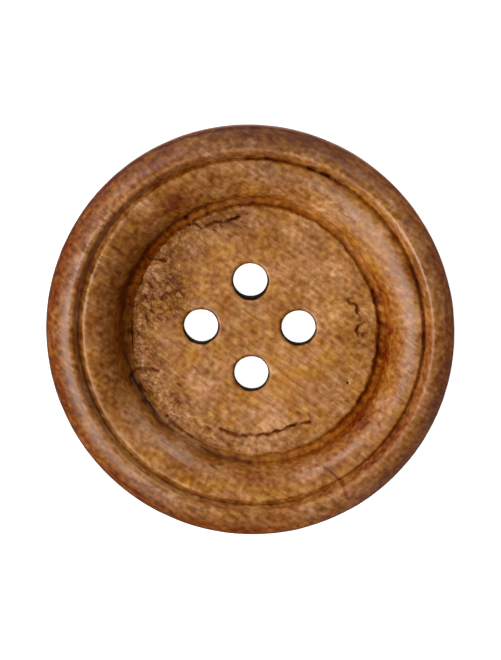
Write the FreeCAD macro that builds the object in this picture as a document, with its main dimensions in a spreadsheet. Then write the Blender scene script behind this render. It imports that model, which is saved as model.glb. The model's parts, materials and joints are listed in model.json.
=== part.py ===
import FreeCAD, Part
import math
import os
import Sketcher

# A sew-on coat button, turned from one piece of wood and drilled for thread.
# It lies on its back: +Z is up through the face, the origin is the middle of
# the flat back, and X and Y run through the two pairs of thread holes.
# The face, from the edge inward, is a rounded bead, a fine V groove, a raised
# lip, a roll that falls to a narrow quirk, and a flat floor with four holes.

NODE = "turned_wood_button"

# Driving dimensions in millimetres: alias, value, what it measures.
SIZES = (
    ("disc_diameter", 30.0, "across the side wall"),
    ("disc_thickness", 5.0, "from the back to the crest of the bead"),
    ("back_edge_round", 1.3, "round between the back and the side wall"),
    ("bead_round", 2.0, "round from the side wall up to the crest"),
    ("crest_diameter", 26.74, "across the crest of the bead"),
    ("crest_round", 0.35, "round over the crest of the bead"),
    ("groove_diameter", 25.4, "across the bottom of the V groove"),
    ("groove_level", 4.05, "height of the bottom of the V groove"),
    ("lip_diameter", 24.7, "across the top of the lip"),
    ("lip_level", 4.4, "height of the top of the lip"),
    ("lip_round", 0.2, "round on the outer side of the lip"),
    ("roll_round", 2.6, "round of the roll between lip and quirk"),
    ("quirk_round", 0.3, "hollow round at the foot of the roll"),
    ("floor_diameter", 17.9, "across the flat of the floor"),
    ("floor_thickness", 2.0, "from the back to the floor"),
    ("floor_edge_round", 0.25, "round between the floor and the quirk"),
    ("hole_diameter", 2.5, "bore of each thread hole"),
    ("hole_spacing_x", 7.1, "between the centres of the left and right holes"),
    ("hole_spacing_y", 6.8, "between the centres of the upper and lower holes"),
    ("hole_edge_round", 0.25, "worn round on both ends of each thread hole"),
)
SIZE = {alias: value for alias, value, _ in SIZES}

# Vertex numbers that the sketcher gives to a curve, and its fixed elements.
START, END, CENTRE = 1, 2, 3
ORIGIN = (-1, 1)
X_AXIS, Y_AXIS = -1, -2


def make_sheet(doc):
    """Write the driving dimensions, one row each, with an alias per value."""
    sheet = doc.addObject("Spreadsheet::Sheet", "Sizes")
    for row, (alias, value, meaning) in enumerate(SIZES, start=1):
        sheet.set(f"A{row}", meaning)
        sheet.set(f"B{row}", str(value))
        sheet.setAlias(f"B{row}", alias)
    doc.recompute()
    return sheet


def add_sketch(body, name, plane_role):
    """Add a sketch that lies on one of the body's own origin planes."""
    sketch = body.newObject("Sketcher::SketchObject", name)
    planes = [item for item in body.Origin.OriginFeatures if item.Role == plane_role]
    sketch.AttachmentSupport = [(planes[0], "")]
    sketch.MapMode = "FlatFace"
    return sketch


def bind(sketch, name, constraint, formula):
    """Add a named dimension to a sketch and drive it from the sheet."""
    index = sketch.addConstraint(constraint)
    sketch.renameConstraint(index, name)
    sketch.setExpression(f"Constraints.{name}", formula)


class Outline:
    """A closed chain of lines and arcs, walked anticlockwise round the wood."""

    def __init__(self, sketch):
        self.sketch = sketch
        self.links = []

    def line(self, start, end):
        """Add a straight stretch and return its number."""
        points = [FreeCAD.Vector(x, y, 0) for x, y in (start, end)]
        number = self.sketch.addGeometry(Part.LineSegment(*points), False)
        self.links.append((number, START, END))
        return number

    def arc(self, centre, radius, start_angle, end_angle, hollow=False):
        """Add a round stretch between two angles in degrees; return its number."""
        circle = Part.Circle(FreeCAD.Vector(*centre, 0), FreeCAD.Vector(0, 0, 1), radius)
        curve = Part.ArcOfCircle(circle, math.radians(start_angle), math.radians(end_angle))
        number = self.sketch.addGeometry(curve, False)
        self.links.append((number, END, START) if hollow else (number, START, END))
        return number

    def join(self, corners):
        """Join each stretch to the next: tangent, or at a corner where listed."""
        following = self.links[1:] + self.links[:1]
        for (number, _, leave), (next_number, enter, _) in zip(self.links, following):
            kind = "Coincident" if (number, next_number) in corners else "Tangent"
            self.sketch.addConstraint(
                Sketcher.Constraint(kind, number, leave, next_number, enter))


def draw_section(body):
    """Draw half of the button's cross-section, from the axis to the side wall."""
    sketch = add_sketch(body, "HalfSection", "XZ_Plane")
    outline = Outline(sketch)
    edge = SIZE["disc_diameter"] / 2
    top = SIZE["disc_thickness"]
    floor = SIZE["floor_thickness"]
    back_round = SIZE["back_edge_round"]
    bead_round = SIZE["bead_round"]
    bead_x = edge - bead_round
    crest_round = SIZE["crest_round"]
    crest_x = SIZE["crest_diameter"] / 2
    crest_y = top - crest_round
    bead_y = crest_y - math.sqrt((bead_round - crest_round)**2 - (crest_x - bead_x)**2)
    groove = (SIZE["groove_diameter"] / 2, SIZE["groove_level"])
    lip_x = SIZE["lip_diameter"] / 2
    lip_round = SIZE["lip_round"]
    lip_y = SIZE["lip_level"] - lip_round
    roll_round = SIZE["roll_round"]
    roll_y = SIZE["lip_level"] - roll_round
    quirk_round = SIZE["quirk_round"]
    floor_x = SIZE["floor_diameter"] / 2
    floor_round = SIZE["floor_edge_round"]
    floor_y = floor - floor_round

    # The angles and the quirk's centre are a first guess: the tangent joints
    # below settle them when the sketch is solved.
    back = outline.line((0, 0), (edge - back_round, 0))
    back_edge = outline.arc((edge - back_round, back_round), back_round, -90, 0)
    wall = outline.line((edge, back_round), (edge, bead_y))
    bead = outline.arc((bead_x, bead_y), bead_round, 0, 77)
    crest = outline.arc((crest_x, crest_y), crest_round, 77, 148)
    bead_slope = outline.line((crest_x - crest_round, crest_y), groove)
    lip_wall = outline.line(groove, (lip_x + lip_round, lip_y))
    lip = outline.arc((lip_x, lip_y), lip_round, 30, 90)
    roll = outline.arc((lip_x, roll_y), roll_round, 90, 170)
    quirk_centre = (lip_x - roll_round - quirk_round, floor)
    quirk = outline.arc(quirk_centre, quirk_round, 205, 350, hollow=True)
    floor_edge = outline.arc((floor_x, floor_y), floor_round, 25, 90)
    floor_top = outline.line((floor_x, floor), (0, floor))
    axis = outline.line((0, floor), (0, 0))

    outline.join(corners={(bead_slope, lip_wall), (floor_top, axis), (axis, back)})
    sketch.addConstraint([
        Sketcher.Constraint("Coincident", back, START, *ORIGIN),
        Sketcher.Constraint("Horizontal", back),
        Sketcher.Constraint("Horizontal", floor_top),
        Sketcher.Constraint("Vertical", wall),
        Sketcher.Constraint("Vertical", axis),
        Sketcher.Constraint("Vertical", lip, CENTRE, lip, END),
    ])

    def bind_round(name, number, radius):
        bind(sketch, name, Sketcher.Constraint("Radius", number, radius), f"Sizes.{name}")

    def bind_place(name, direction, number, vertex, value, formula):
        place = Sketcher.Constraint(direction, *ORIGIN, number, vertex, value)
        bind(sketch, name, place, formula)

    bind_round("back_edge_round", back_edge, back_round)
    bind_round("bead_round", bead, bead_round)
    bind_round("crest_round", crest, crest_round)
    bind_round("lip_round", lip, lip_round)
    bind_round("roll_round", roll, roll_round)
    bind_round("quirk_round", quirk, quirk_round)
    bind_round("floor_edge_round", floor_edge, floor_round)
    bind_place("disc_radius", "DistanceX", wall, END, edge, "Sizes.disc_diameter / 2")
    bind_place("crest_radius", "DistanceX", crest, CENTRE, crest_x, "Sizes.crest_diameter / 2")
    bind_place("crest_centre_level", "DistanceY", crest, CENTRE, crest_y,
               "Sizes.disc_thickness - Sizes.crest_round")
    bind_place("groove_radius", "DistanceX", lip_wall, START, groove[0], "Sizes.groove_diameter / 2")
    bind_place("groove_level", "DistanceY", lip_wall, START, groove[1], "Sizes.groove_level")
    bind_place("lip_radius", "DistanceX", lip, END, lip_x, "Sizes.lip_diameter / 2")
    bind_place("lip_level", "DistanceY", lip, END, SIZE["lip_level"], "Sizes.lip_level")
    bind_place("floor_radius", "DistanceX", floor_top, START, floor_x, "Sizes.floor_diameter / 2")
    bind_place("floor_level", "DistanceY", floor_top, START, floor, "Sizes.floor_thickness")
    return sketch


def turn_disc(body, section):
    """Turn the half section round the vertical axis."""
    disc = body.newObject("PartDesign::Revolution", "TurnedDisc")
    disc.Profile = section
    disc.ReferenceAxis = (section, ["V_Axis"])
    disc.Angle = 360
    section.Visibility = False
    return disc


def draw_hole_circles(body):
    """Draw the four hole circles, one pair on X and one pair on Y."""
    sketch = add_sketch(body, "HoleCircles", "XY_Plane")
    radius = SIZE["hole_diameter"] / 2
    pairs = (
        ("x", "DistanceX", X_AXIS, SIZE["hole_spacing_x"] / 2),
        ("y", "DistanceY", Y_AXIS, SIZE["hole_spacing_y"] / 2),
    )
    first = None
    for letter, direction, axis, reach in pairs:
        for side, word in ((1, "plus"), (-1, "minus")):
            place = (side * reach, 0) if letter == "x" else (0, side * reach)
            circle = Part.Circle(FreeCAD.Vector(*place, 0), FreeCAD.Vector(0, 0, 1), radius)
            number = sketch.addGeometry(circle, False)
            sketch.addConstraint(
                Sketcher.Constraint("PointOnObject", number, CENTRE, axis))
            ends = (*ORIGIN, number, CENTRE) if side > 0 else (number, CENTRE, *ORIGIN)
            bind(sketch, f"reach_{letter}_{word}", Sketcher.Constraint(direction, *ends, reach),
                 f"Sizes.hole_spacing_{letter} / 2")
            if first is None:
                first = number
                bind(sketch, "hole_diameter", Sketcher.Constraint("Diameter", number, 2 * radius),
                     "Sizes.hole_diameter")
            else:
                sketch.addConstraint(Sketcher.Constraint("Equal", first, number))
    return sketch


def drill_holes(body, circles):
    """Cut the thread holes upward from the back, right through the floor."""
    holes = body.newObject("PartDesign::Pocket", "ThreadHoles")
    holes.Profile = circles
    holes.Type = "ThroughAll"
    holes.Reversed = True
    circles.Visibility = False
    return holes


def soften_hole_edges(body, holes):
    """Round both ends of every thread hole, where the thread would chafe."""
    radius = SIZE["hole_diameter"] / 2
    rims = [
        f"Edge{number}"
        for number, edge in enumerate(holes.Shape.Edges, start=1)
        if isinstance(edge.Curve, Part.Circle) and math.isclose(edge.Curve.Radius, radius)
    ]
    rounds = body.newObject("PartDesign::Fillet", "HoleEdges")
    rounds.Base = (holes, rims)
    rounds.setExpression("Radius", "Sizes.hole_edge_round")
    return rounds


def check_document(doc, body):
    """Stop if any object failed to compute or the button isn't one good solid."""
    for item in doc.Objects:
        for word in ("Invalid", "Error"):
            if word in item.State:
                raise RuntimeError(f"{item.Name} is {item.State}")
    shape = body.Shape
    if shape.isNull() or not shape.isValid() or len(shape.Solids) != 1:
        raise RuntimeError(f"{body.Label} isn't one valid solid")


def check_holes(disc, holes):
    """Stop if drilling didn't take four floor-deep cylinders out of the disc."""
    section_area = math.pi * SIZE["hole_diameter"] ** 2 / 4
    expected = 4 * section_area * SIZE["floor_thickness"]
    removed = disc.Shape.Volume - holes.Shape.Volume
    if not math.isclose(removed, expected, rel_tol=0.001):
        raise RuntimeError(f"the holes removed {removed:.3f} mm3, not {expected:.3f}")


def main():
    doc = FreeCAD.newDocument("SewOnButton")
    make_sheet(doc)
    body = doc.addObject("PartDesign::Body", "Button")
    body.Label = NODE
    body.Placement = FreeCAD.Placement()

    section = draw_section(body)
    disc = turn_disc(body, section)
    circles = draw_hole_circles(body)
    holes = drill_holes(body, circles)
    doc.recompute()
    check_holes(disc, holes)
    body.Tip = soften_hole_edges(body, holes)
    doc.recompute()
    check_document(doc, body)

    os.makedirs("parts", exist_ok=True)
    body.Shape.exportStep(os.path.join("parts", f"{NODE}.step"))
    box = body.Shape.optimalBoundingBox(False)
    print(f"{NODE}: {box.XLength:.2f} x {box.YLength:.2f} x {box.ZLength:.2f} mm, "
          f"{body.Shape.Volume:.1f} mm3")


main()
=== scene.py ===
import json
from collections import namedtuple
from functools import reduce
from math import acos, atan2, cos, degrees, pi, radians, sin, sqrt

import bpy
import numpy as np
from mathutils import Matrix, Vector
from mathutils.geometry import delaunay_2d_cdt
from numpy.linalg import norm


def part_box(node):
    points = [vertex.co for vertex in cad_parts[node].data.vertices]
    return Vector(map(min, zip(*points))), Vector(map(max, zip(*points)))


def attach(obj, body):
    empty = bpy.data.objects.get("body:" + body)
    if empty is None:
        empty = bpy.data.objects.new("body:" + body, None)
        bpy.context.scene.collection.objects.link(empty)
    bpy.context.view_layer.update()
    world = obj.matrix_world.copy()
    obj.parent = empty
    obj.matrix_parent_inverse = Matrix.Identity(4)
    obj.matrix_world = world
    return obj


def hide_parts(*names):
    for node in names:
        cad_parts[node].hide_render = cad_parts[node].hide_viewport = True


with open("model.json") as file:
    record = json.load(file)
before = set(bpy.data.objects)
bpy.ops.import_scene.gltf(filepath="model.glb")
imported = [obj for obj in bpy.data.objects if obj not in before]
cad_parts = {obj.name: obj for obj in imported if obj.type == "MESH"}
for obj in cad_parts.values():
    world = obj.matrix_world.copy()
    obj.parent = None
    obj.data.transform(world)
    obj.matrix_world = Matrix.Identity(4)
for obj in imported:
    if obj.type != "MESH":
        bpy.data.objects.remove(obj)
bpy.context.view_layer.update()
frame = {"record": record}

# A turned wooden sew-on button, worked out in millimetres: first the true turned
# surface of the CAD solid, then the marks of the lathe, the drill, drying and wear,
# with painted sheen and painted shade.
# Bearings are in degrees, anticlockwise from +X as seen from above.

NODE = "turned_wood_button"
MM = 0.001

# ---- sizes
# The disc and its thread holes come from the frame.

low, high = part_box(NODE)
DISC_RADIUS = high.x / MM
DISC_THICKNESS = high.z / MM

BACK_EDGE_ROUND = 1.3
BEAD_ROUND = 2.0
RIDGE_RADIUS = 13.37
CREST_ROUND = 0.35
GROOVE = (12.7, 4.05)
LIP_RADIUS = 12.35
LIP_LEVEL = 4.4
LIP_ROUND = 0.2
ROLL_ROUND = 2.6
QUIRK_ROUND = 0.3
FLOOR_RADIUS = 8.95
FLOOR_LEVEL = 2.0
FLOOR_EDGE_ROUND = 0.25
HOLE_EDGE_ROUND = 0.25

# How far apart the points of the surface are.
RING_STEP = 0.115
FINE_RING_STEP = 0.065
WALL_RING_STEP = 0.24
BEARING_STEP = 0.66
RIM_CRACK_BEARINGS = (294.8, 302.0)
RIM_CRACK_BEARING_STEP = 0.2
FLOOR_STEP = 0.145
CRACK_STEP = 0.062
BACK_STEP = 0.36
HOLE_POINTS = 72

# Gaps between a sheet's inner points and its borders, in its own steps.
FLOOR_BORDER_GAP = 0.6
FLOOR_GAP = 0.3
FLOOR_HOLE_GAP = 0.5
BACK_GAP = 0.9
BACK_HOLE_GAP = 0.6
BACK_RING_GAP = 0.45

# The grain runs this way through the blank.
GRAIN_BEARING = 145.0


def read_holes():
    """Middle and radius of each thread hole, from the record."""
    holes = {}
    for mount in frame["record"]["mounts"]:
        if mount["kind"] == "bore":
            x, y, _ = mount["pos_m"]
            holes[mount["name"]] = (np.array((x, y)) / MM, mount["dims"]["r_mm"])
    return holes


# ---- noise


# Odd numbers that mix well, and the (shift, factor) of each round of mixing.
HASH_FACTORS = (0x8DA6B343, 0xD8163841, 0xCB1AB31F)
HASH_SEED = (7919, 17)
HASH_ROUNDS = ((13, 0x5BD1E995), (15, 0x27D4EB2F), (16, 1))


def hashed(cells, seed):
    """A repeatable random number, 0 to 1, for each cell."""
    whole = cells.astype(np.int64).astype(np.uint32)
    mixed = (whole * np.array(HASH_FACTORS, np.uint32)).sum(axis=1, dtype=np.uint32)
    mixed = mixed + np.uint32(seed * HASH_SEED[0] + HASH_SEED[1])
    for shift, factor in HASH_ROUNDS:
        mixed = (mixed ^ (mixed >> np.uint32(shift))) * np.uint32(factor)
    return mixed / 2.0**32


def noise(points, cell, seed):
    """Smooth noise from -1 to 1; cell is its size in mm, or one for each axis."""
    scaled = points / np.asarray(cell, float)
    corner = np.floor(scaled)
    part = scaled - corner
    eased = part * part * (3 - 2 * part)
    total = np.zeros(len(points))
    for step in np.ndindex(2, 2, 2):
        step = np.array(step)
        weight = np.where(step, eased, 1 - eased).prod(axis=1)
        total += weight * hashed(corner + step, seed)
    return 2 * total - 1


class Rough(namedtuple("Rough", "amount cell seed layers gain", defaults=(3, 0.6))):
    """Layered noise: each layer is half as large and gain times as strong."""

    def at(self, points):
        """The roughness at each point, from -amount to amount."""
        strengths = [self.gain**k for k in range(self.layers)]
        total = sum(strength * noise(points, np.divide(self.cell, 2**k), self.seed + k)
                    for k, strength in enumerate(strengths))
        return self.amount * (total / sum(strengths))


def ease(value, start, end):
    """0 at start, 1 at end, smooth between; end may be below start."""
    part = np.clip((value - start) / (end - start), 0, 1)
    return part * part * (3 - 2 * part)


def hill(value, middle, half_width):
    """1 at middle, and 0 from half_width away on both sides."""
    return ease(np.abs(value - middle), half_width, 0)


def band(value, start, full, fading, end):
    """0 up to start, 1 from full to fading, and 0 from end on."""
    return ease(value, start, full) * ease(value, end, fading)


def round_the_ring(bearing, knots):
    """A value that runs smoothly through the {bearing: value} knots."""
    first = min(knots)
    places = np.array([*knots, first + 360])
    values = np.array([*knots.values(), knots[first]])
    bearing = (bearing - first) % 360 + first
    after = np.clip(np.searchsorted(places, bearing, side="right"), 1, len(knots))
    part = ease(bearing, places[after - 1], places[after])
    return values[after - 1] * (1 - part) + values[after] * part


def directions(bearings):
    """Unit vectors that point along these bearings, in degrees."""
    around = np.radians(bearings)
    return np.stack([np.cos(around), np.sin(around)], axis=1)


# ---- the turned section


def meeting_point(a, reach_a, b, reach_b):
    """The upper point that lies reach_a from a and reach_b from b."""
    gap = norm(b - a)
    along = (reach_a**2 - reach_b**2 + gap**2) / (2 * gap)
    aside = sqrt(reach_a**2 - along**2)
    unit = (b - a) / gap
    return a + along * unit + aside * np.array((-unit[1], unit[0]))


def angle_of(vector):
    """Direction of a vector in degrees, from 0 to 360."""
    return degrees(atan2(vector[1], vector[0])) % 360


def arc(centre, radius, start, end, step, hollow=False):
    """Points and normals along an arc; hollow where the wood lies outside it."""
    count = max(2, round(radius * radians(abs(end - start)) / step))
    outward = directions(np.linspace(start, end, count + 1))
    return centre + radius * outward, -outward if hollow else outward


def straight(start, end, step):
    """Points along a line, and the normals on its left."""
    start, end = np.array(start), np.array(end)
    length = norm(end - start)
    count = max(2, round(length / step))
    points = start + np.linspace(0, 1, count + 1)[:, None] * (end - start)
    along = (end - start) / length
    return points, np.tile((-along[1], along[0]), (count + 1, 1))


def ridge_and_bead():
    """Middles of the crest's small round and of the bead's round."""
    ridge = np.array((RIDGE_RADIUS, DISC_THICKNESS - CREST_ROUND))
    bead_x = DISC_RADIUS - BEAD_ROUND
    drop = sqrt((BEAD_ROUND - CREST_ROUND)**2 - (RIDGE_RADIUS - bead_x)**2)
    return ridge, np.array((bead_x, ridge[1] - drop))


def face_section():
    """The section from the floor's edge out to the side wall."""
    floor_centre = np.array((FLOOR_RADIUS, FLOOR_LEVEL - FLOOR_EDGE_ROUND))
    roll_centre = np.array((LIP_RADIUS, LIP_LEVEL - ROLL_ROUND))
    lip_centre = np.array((LIP_RADIUS, LIP_LEVEL - LIP_ROUND))
    crest_centre, bead_centre = ridge_and_bead()
    bead_start = angle_of(crest_centre - bead_centre)
    groove = np.array(GROOVE)
    quirk_centre = meeting_point(floor_centre, FLOOR_EDGE_ROUND + QUIRK_ROUND,
                                 roll_centre, ROLL_ROUND + QUIRK_ROUND)
    quirk_start = angle_of(quirk_centre - floor_centre)
    quirk_end = angle_of(quirk_centre - roll_centre)
    to_groove = groove - lip_centre
    lip_end = angle_of(to_groove) - 360 + degrees(acos(LIP_ROUND / norm(to_groove)))
    to_groove = groove - crest_centre
    crest_start = angle_of(to_groove) - degrees(acos(CREST_ROUND / norm(to_groove)))
    lip = arc(lip_centre, LIP_ROUND, 90, lip_end, FINE_RING_STEP)
    crest = arc(crest_centre, CREST_ROUND, crest_start, bead_start, FINE_RING_STEP)
    return join_spans([
        arc(floor_centre, FLOOR_EDGE_ROUND, 90, quirk_start, FINE_RING_STEP),
        arc(quirk_centre, QUIRK_ROUND, quirk_start + 180, quirk_end + 180, FINE_RING_STEP,
            hollow=True),
        arc(roll_centre, ROLL_ROUND, quirk_end, 90, RING_STEP),
        lip,
        straight(lip[0][-1], groove, FINE_RING_STEP),
        straight(groove, crest[0][0], FINE_RING_STEP),
        crest,
        arc(bead_centre, BEAD_ROUND, bead_start, 0, RING_STEP),
    ])


def side_section():
    """The section down the side wall and round the back edge."""
    back_x = DISC_RADIUS - BACK_EDGE_ROUND
    wall_top = ridge_and_bead()[1][1]
    return join_spans([
        straight((DISC_RADIUS, wall_top), (DISC_RADIUS, BACK_EDGE_ROUND), WALL_RING_STEP),
        arc(np.array((back_x, BACK_EDGE_ROUND)), BACK_EDGE_ROUND, 0, -90, WALL_RING_STEP),
    ])


def hole_section(radius):
    """The section up through a thread hole, from the hole's own axis."""
    middle = radius + HOLE_EDGE_ROUND
    top = np.array((middle, FLOOR_LEVEL - HOLE_EDGE_ROUND))
    bottom = np.array((middle, HOLE_EDGE_ROUND))
    return join_spans([
        arc(bottom, HOLE_EDGE_ROUND, 270, 180, FINE_RING_STEP),
        straight((radius, bottom[1]), (radius, top[1]), WALL_RING_STEP),
        arc(top, HOLE_EDGE_ROUND, 180, 90, FINE_RING_STEP),
    ])


def join_spans(spans):
    """Join spans end to end into one run of points and normals."""
    return [np.concatenate([spans[0][k][:1], *(span[k][1:] for span in spans)]) for k in (0, 1)]


# ---- gathering the surface


class Skin:
    """Collects the points, faces and bake-map corners of the surface."""

    def __init__(self):
        self.points = []
        self.normals = []
        self.faces = []
        self.corners = []
        self.count = 0

    def add_points(self, points, normals):
        """Add points and return their numbers."""
        first = self.count
        self.points.append(points)
        self.normals.append(normals)
        self.count += len(points)
        return np.arange(first, self.count)

    def add_faces(self, faces, corners):
        """Add faces by their point numbers, and their bake-map corners."""
        self.faces += faces.tolist()
        self.corners.append(corners.reshape(-1, 2))


def turn(skin, section, bearings, centre=(0.0, 0.0)):
    """Turn a section round an upright axis; return point numbers by ring."""
    spin = directions(bearings)

    def swept(pairs):
        sideways = pairs[:, None, :1] * spin
        upward = np.broadcast_to(pairs[:, None, 1:], sideways.shape[:2] + (1,))
        return np.concatenate([sideways, upward], axis=2).reshape(-1, 3)

    points, normals = section
    places = swept(points)
    places[:, :2] += centre
    return skin.add_points(places, swept(normals)).reshape(len(points), len(bearings))


def ring_faces(rings):
    """Four-cornered faces between neighbouring rings."""
    following = np.roll(rings, -1, axis=1)
    return np.stack([rings[:-1], rings[1:], following[1:], following[:-1]], axis=2)


def hexagon_grid(step, radius):
    """Evenly spread points in a circle."""
    rows = np.arange(-radius, radius, step * sqrt(3) / 2)
    columns = np.arange(-radius, radius, step)
    x, y = np.meshgrid(columns, rows)
    x = x + (np.arange(len(rows)) % 2 * step / 2)[:, None]
    grid = np.stack([x.ravel(), y.ravel()], axis=1)
    return grid[np.hypot(*grid.T) < radius]


# ---- marks in the wood
# Routes are in millimetres.


class Crack(namedtuple("Crack", "route half_width depth ragged strength", defaults=(0.1, 1.0))):
    """A crack along a route of (x, y) places; strength is how dark it is."""

    def distance(self, flat, wander):
        """How far each place is from the ragged route."""
        place = flat + self.ragged * wander
        nearest = np.full(len(flat), np.inf)
        for start, end in zip(np.array(self.route[:-1]), np.array(self.route[1:])):
            span = end - start
            part = np.clip((place - start) @ span / (span @ span), 0, 1)
            away = norm(place - start - part[:, None] * span, axis=1)
            nearest = np.minimum(nearest, away)
        return nearest


CRACKS = (
    # along the upper left edge of the floor, from a pit
    Crack([(-4.45, 7.85), (-3.95, 7.58), (-3.65, 7.45), (-3.3, 7.6), (-2.8, 7.8), (-2.2, 7.85),
           (-1.9, 7.82), (-1.5, 8.0), (-1.2, 8.05), (-0.9, 8.25)], 0.09, 0.09,
          strength=1.1),
    # inside the right edge of the floor
    Crack([(7.15, 2.1), (7.4, 1.85), (7.75, 1.65), (7.8, 1.25), (7.9, 0.9), (8.05, 0.65),
           (8.3, 0.5), (8.0, 0.3), (7.8, 0.0), (7.7, -0.2), (7.8, -0.5)], 0.11, 0.05, strength=0.98),
    # along the lower edge of the floor
    Crack([(-2.35, -7.45), (-1.9, -7.55), (-1.5, -7.7), (-0.85, -7.95), (0.0, -7.85),
           (0.4, -7.9), (0.85, -7.75), (1.3, -7.8), (1.75, -7.5), (2.2, -7.5), (2.95, -7.15),
           (3.6, -6.97), (4.2, -6.9)], 0.1, 0.08, strength=1.05),
    # from the quirk on the left into the floor
    Crack([(-9.0, -4.1), (-8.95, -3.5), (-8.7, -3.07), (-8.2, -3.0), (-7.6, -3.02),
           (-6.95, -3.05)], 0.1, 0.1, strength=0.95),
    # upper left, across the floor's edge
    Crack([(-7.7, 5.35), (-7.2, 5.2), (-6.8, 5.08), (-6.2, 4.97)], 0.09, 0.08),
    # along the foot of the floor's edge, lower left
    Crack([(-8.2, -5.4), (-7.65, -5.6), (-7.4, -6.1), (-7.15, -6.6), (-6.9, -6.9), (-6.3, -7.3),
           (-5.9, -7.6)], 0.08, 0.06, 0.05, strength=0.74),
    Crack([(-6.1, -6.8), (-5.7, -7.15), (-5.3, -7.42), (-4.9, -7.8), (-4.3, -8.2)], 0.07, 0.05,
          0.05, strength=0.7),
    Crack([(-3.7, -8.8), (-3.0, -9.15), (-2.45, -9.4), (-1.9, -9.5), (-1.2, -9.5), (-0.5, -9.65),
           (0.1, -9.85)], 0.08, 0.04, 0.05, strength=0.68),
    # from the roll across the groove to the rim, lower right
    Crack([(4.5, -9.6), (5.0, -9.7), (5.5, -10.0), (5.95, -10.35), (6.25, -10.7), (6.55, -11.1),
           (6.8, -11.6), (7.0, -12.1)], 0.05, 0.02, 0.04, strength=0.66),
)

# Short nicks where the tool tore the wood: x, y to x, y, and how dark.
NICKS = (
    (-2.2, 7.95, -2.15, 7.5, 0.87), (-2.75, 7.35, -2.6, 7.25, 0.7), (-0.65, 7.8, -0.35, 7.7, 0.7),
    (-3.35, 8.55, -3.1, 8.4, 0.7), (-0.55, 8.5, -0.4, 8.45, 0.7), (-1.75, 6.9, -1.55, 6.8, 0.61),
    (8.15, -0.5, 8.35, -0.35, 0.78), (7.6, -1.0, 7.8, -1.1, 0.65), (7.35, 2.6, 7.6, 2.55, 0.61),
    (9.0, 2.1, 9.35, 2.35, 0.87), (8.95, 1.95, 9.05, 1.8, 0.96), (9.3, 1.9, 9.5, 1.85, 0.7),
    (8.85, 2.8, 9.0, 2.6, 0.78), (9.3, 3.05, 9.5, 2.9, 0.78), (9.3, 0.45, 9.7, 0.15, 0.87),
    (9.35, 1.3, 9.5, 1.15, 0.7), (9.35, -0.8, 9.45, -1.0, 0.7), (9.2, -1.4, 9.35, -2.2, 0.7),
    (4.25, -6.25, 4.25, -6.6, 0.78), (3.3, -6.1, 3.6, -6.5, 0.61), (3.2, -8.35, 3.35, -8.5, 0.61),
    (-8.4, -4.3, -8.3, -4.6, 0.87), (-8.25, -4.65, -8.0, -4.85, 0.7), (-7.5, -4.35, -7.2, -4.12, 0.63),
    (-7.1, -4.2, -6.6, -4.0, 0.63), (-6.0, -4.9, -5.5, -5.4, 0.61), (-5.5, -4.1, -5.1, -4.5, 0.65),
    (-7.65, 3.45, -7.25, 3.0, 0.83), (-7.85, 2.45, -7.7, 2.3, 0.74), (-7.35, 1.45, -7.25, 1.3, 0.7),
    (-7.65, 0.95, -7.65, 0.4, 0.78), (-6.65, 2.15, -6.1, 2.7, 0.68), (-6.0, 5.3, -5.85, 5.25, 0.74),
    (-5.9, 3.9, -5.5, 3.6, 0.72), (-6.2, 3.3, -5.8, 3.4, 0.7), (-5.3, 2.9, -5.05, 2.5, 0.66),
    (-6.9, 1.0, -6.6, 0.6, 0.7), (-8.95, -0.3, -8.5, -0.35, 0.87), (-8.45, 4.6, -8.4, 4.4, 0.96),
    (-5.65, 8.2, -5.55, 8.3, 0.78), (-3.2, -7.25, -3.1, -7.35, 0.83), (-2.75, -8.5, -2.6, -8.6, 0.7),
    (7.75, -7.05, 8.2, -6.6, 0.78), (1.0, 12.66, 1.5, 12.61, 1.0), (4.1, 12.02, 4.6, 11.84, 1.0),
    (5.15, 11.61, 5.65, 11.37, 1.0), (12.15, 3.7, 12.35, 3.0, 0.8), (12.6, -0.2, 12.6, -0.8, 0.8),
)
NICK_HALF_WIDTH = 0.08
NICK_DEPTH = 0.06

# Pits: (x, y, radius, depth).
PITS = (
    (-4.62, 7.85, 0.28, 0.3),
    (-4.85, 8.3, 0.26, 0.12),
    (-9.15, -0.2, 0.34, 0.3),
    (-6.32, -6.6, 0.2, 0.16),
    (7.01, -4.0, 0.13, 0.1),
)


# How far a crack's stain reaches, and how dark a crack must be to have depth.
CRACK_HALO = 0.24
CRACK_FAINTEST = 0.6
CRACK_DEEPENING = 2.5
# The wood dips towards a crack from this many half widths away.
CRACK_SHOULDER = 1.3
CRACK_WANDERS = (Rough(1.0, 0.45, 301, 2, 0.7), Rough(1.0, 0.45, 311, 2, 0.7))
CRACK_UNEVEN = Rough(0.35, 0.5, 57, 1)
# A pit is flat inside this share of its radius, ragged, and darker than a crack.
PIT_BOTTOM = 0.25
PIT_RAGGED = Rough(0.35, 0.22, 63, 1)
PIT_STRENGTH = 1.2


CRACKS_AND_NICKS = CRACKS + tuple(
    Crack([(x, y), (end_x, end_y)], NICK_HALF_WIDTH, NICK_DEPTH, strength=strength)
    for x, y, end_x, end_y, strength in NICKS)


def crack_wander(flat):
    """The sideways wander that all cracks share, at each place."""
    place = np.column_stack([flat, np.zeros(len(flat))])
    return np.column_stack([wander.at(place) for wander in CRACK_WANDERS])


def near_any_crack(flat, reach):
    """Which places lie near a crack, nick or pit."""
    near = np.zeros(len(flat), bool)
    wander = crack_wander(flat)
    for crack in CRACKS_AND_NICKS:
        near |= crack.distance(flat, wander) < reach
    for x, y, radius, _ in PITS:
        near |= np.hypot(flat[:, 0] - x, flat[:, 1] - y) < radius + reach
    return near


# ---- the true surface


def clear_of_holes(places, holes, gap):
    """The places that keep that gap from all holes."""
    for middle, radius in holes:
        clear = radius + HOLE_EDGE_ROUND + gap
        places = places[norm(places - middle, axis=1) > clear]
    return places


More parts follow.
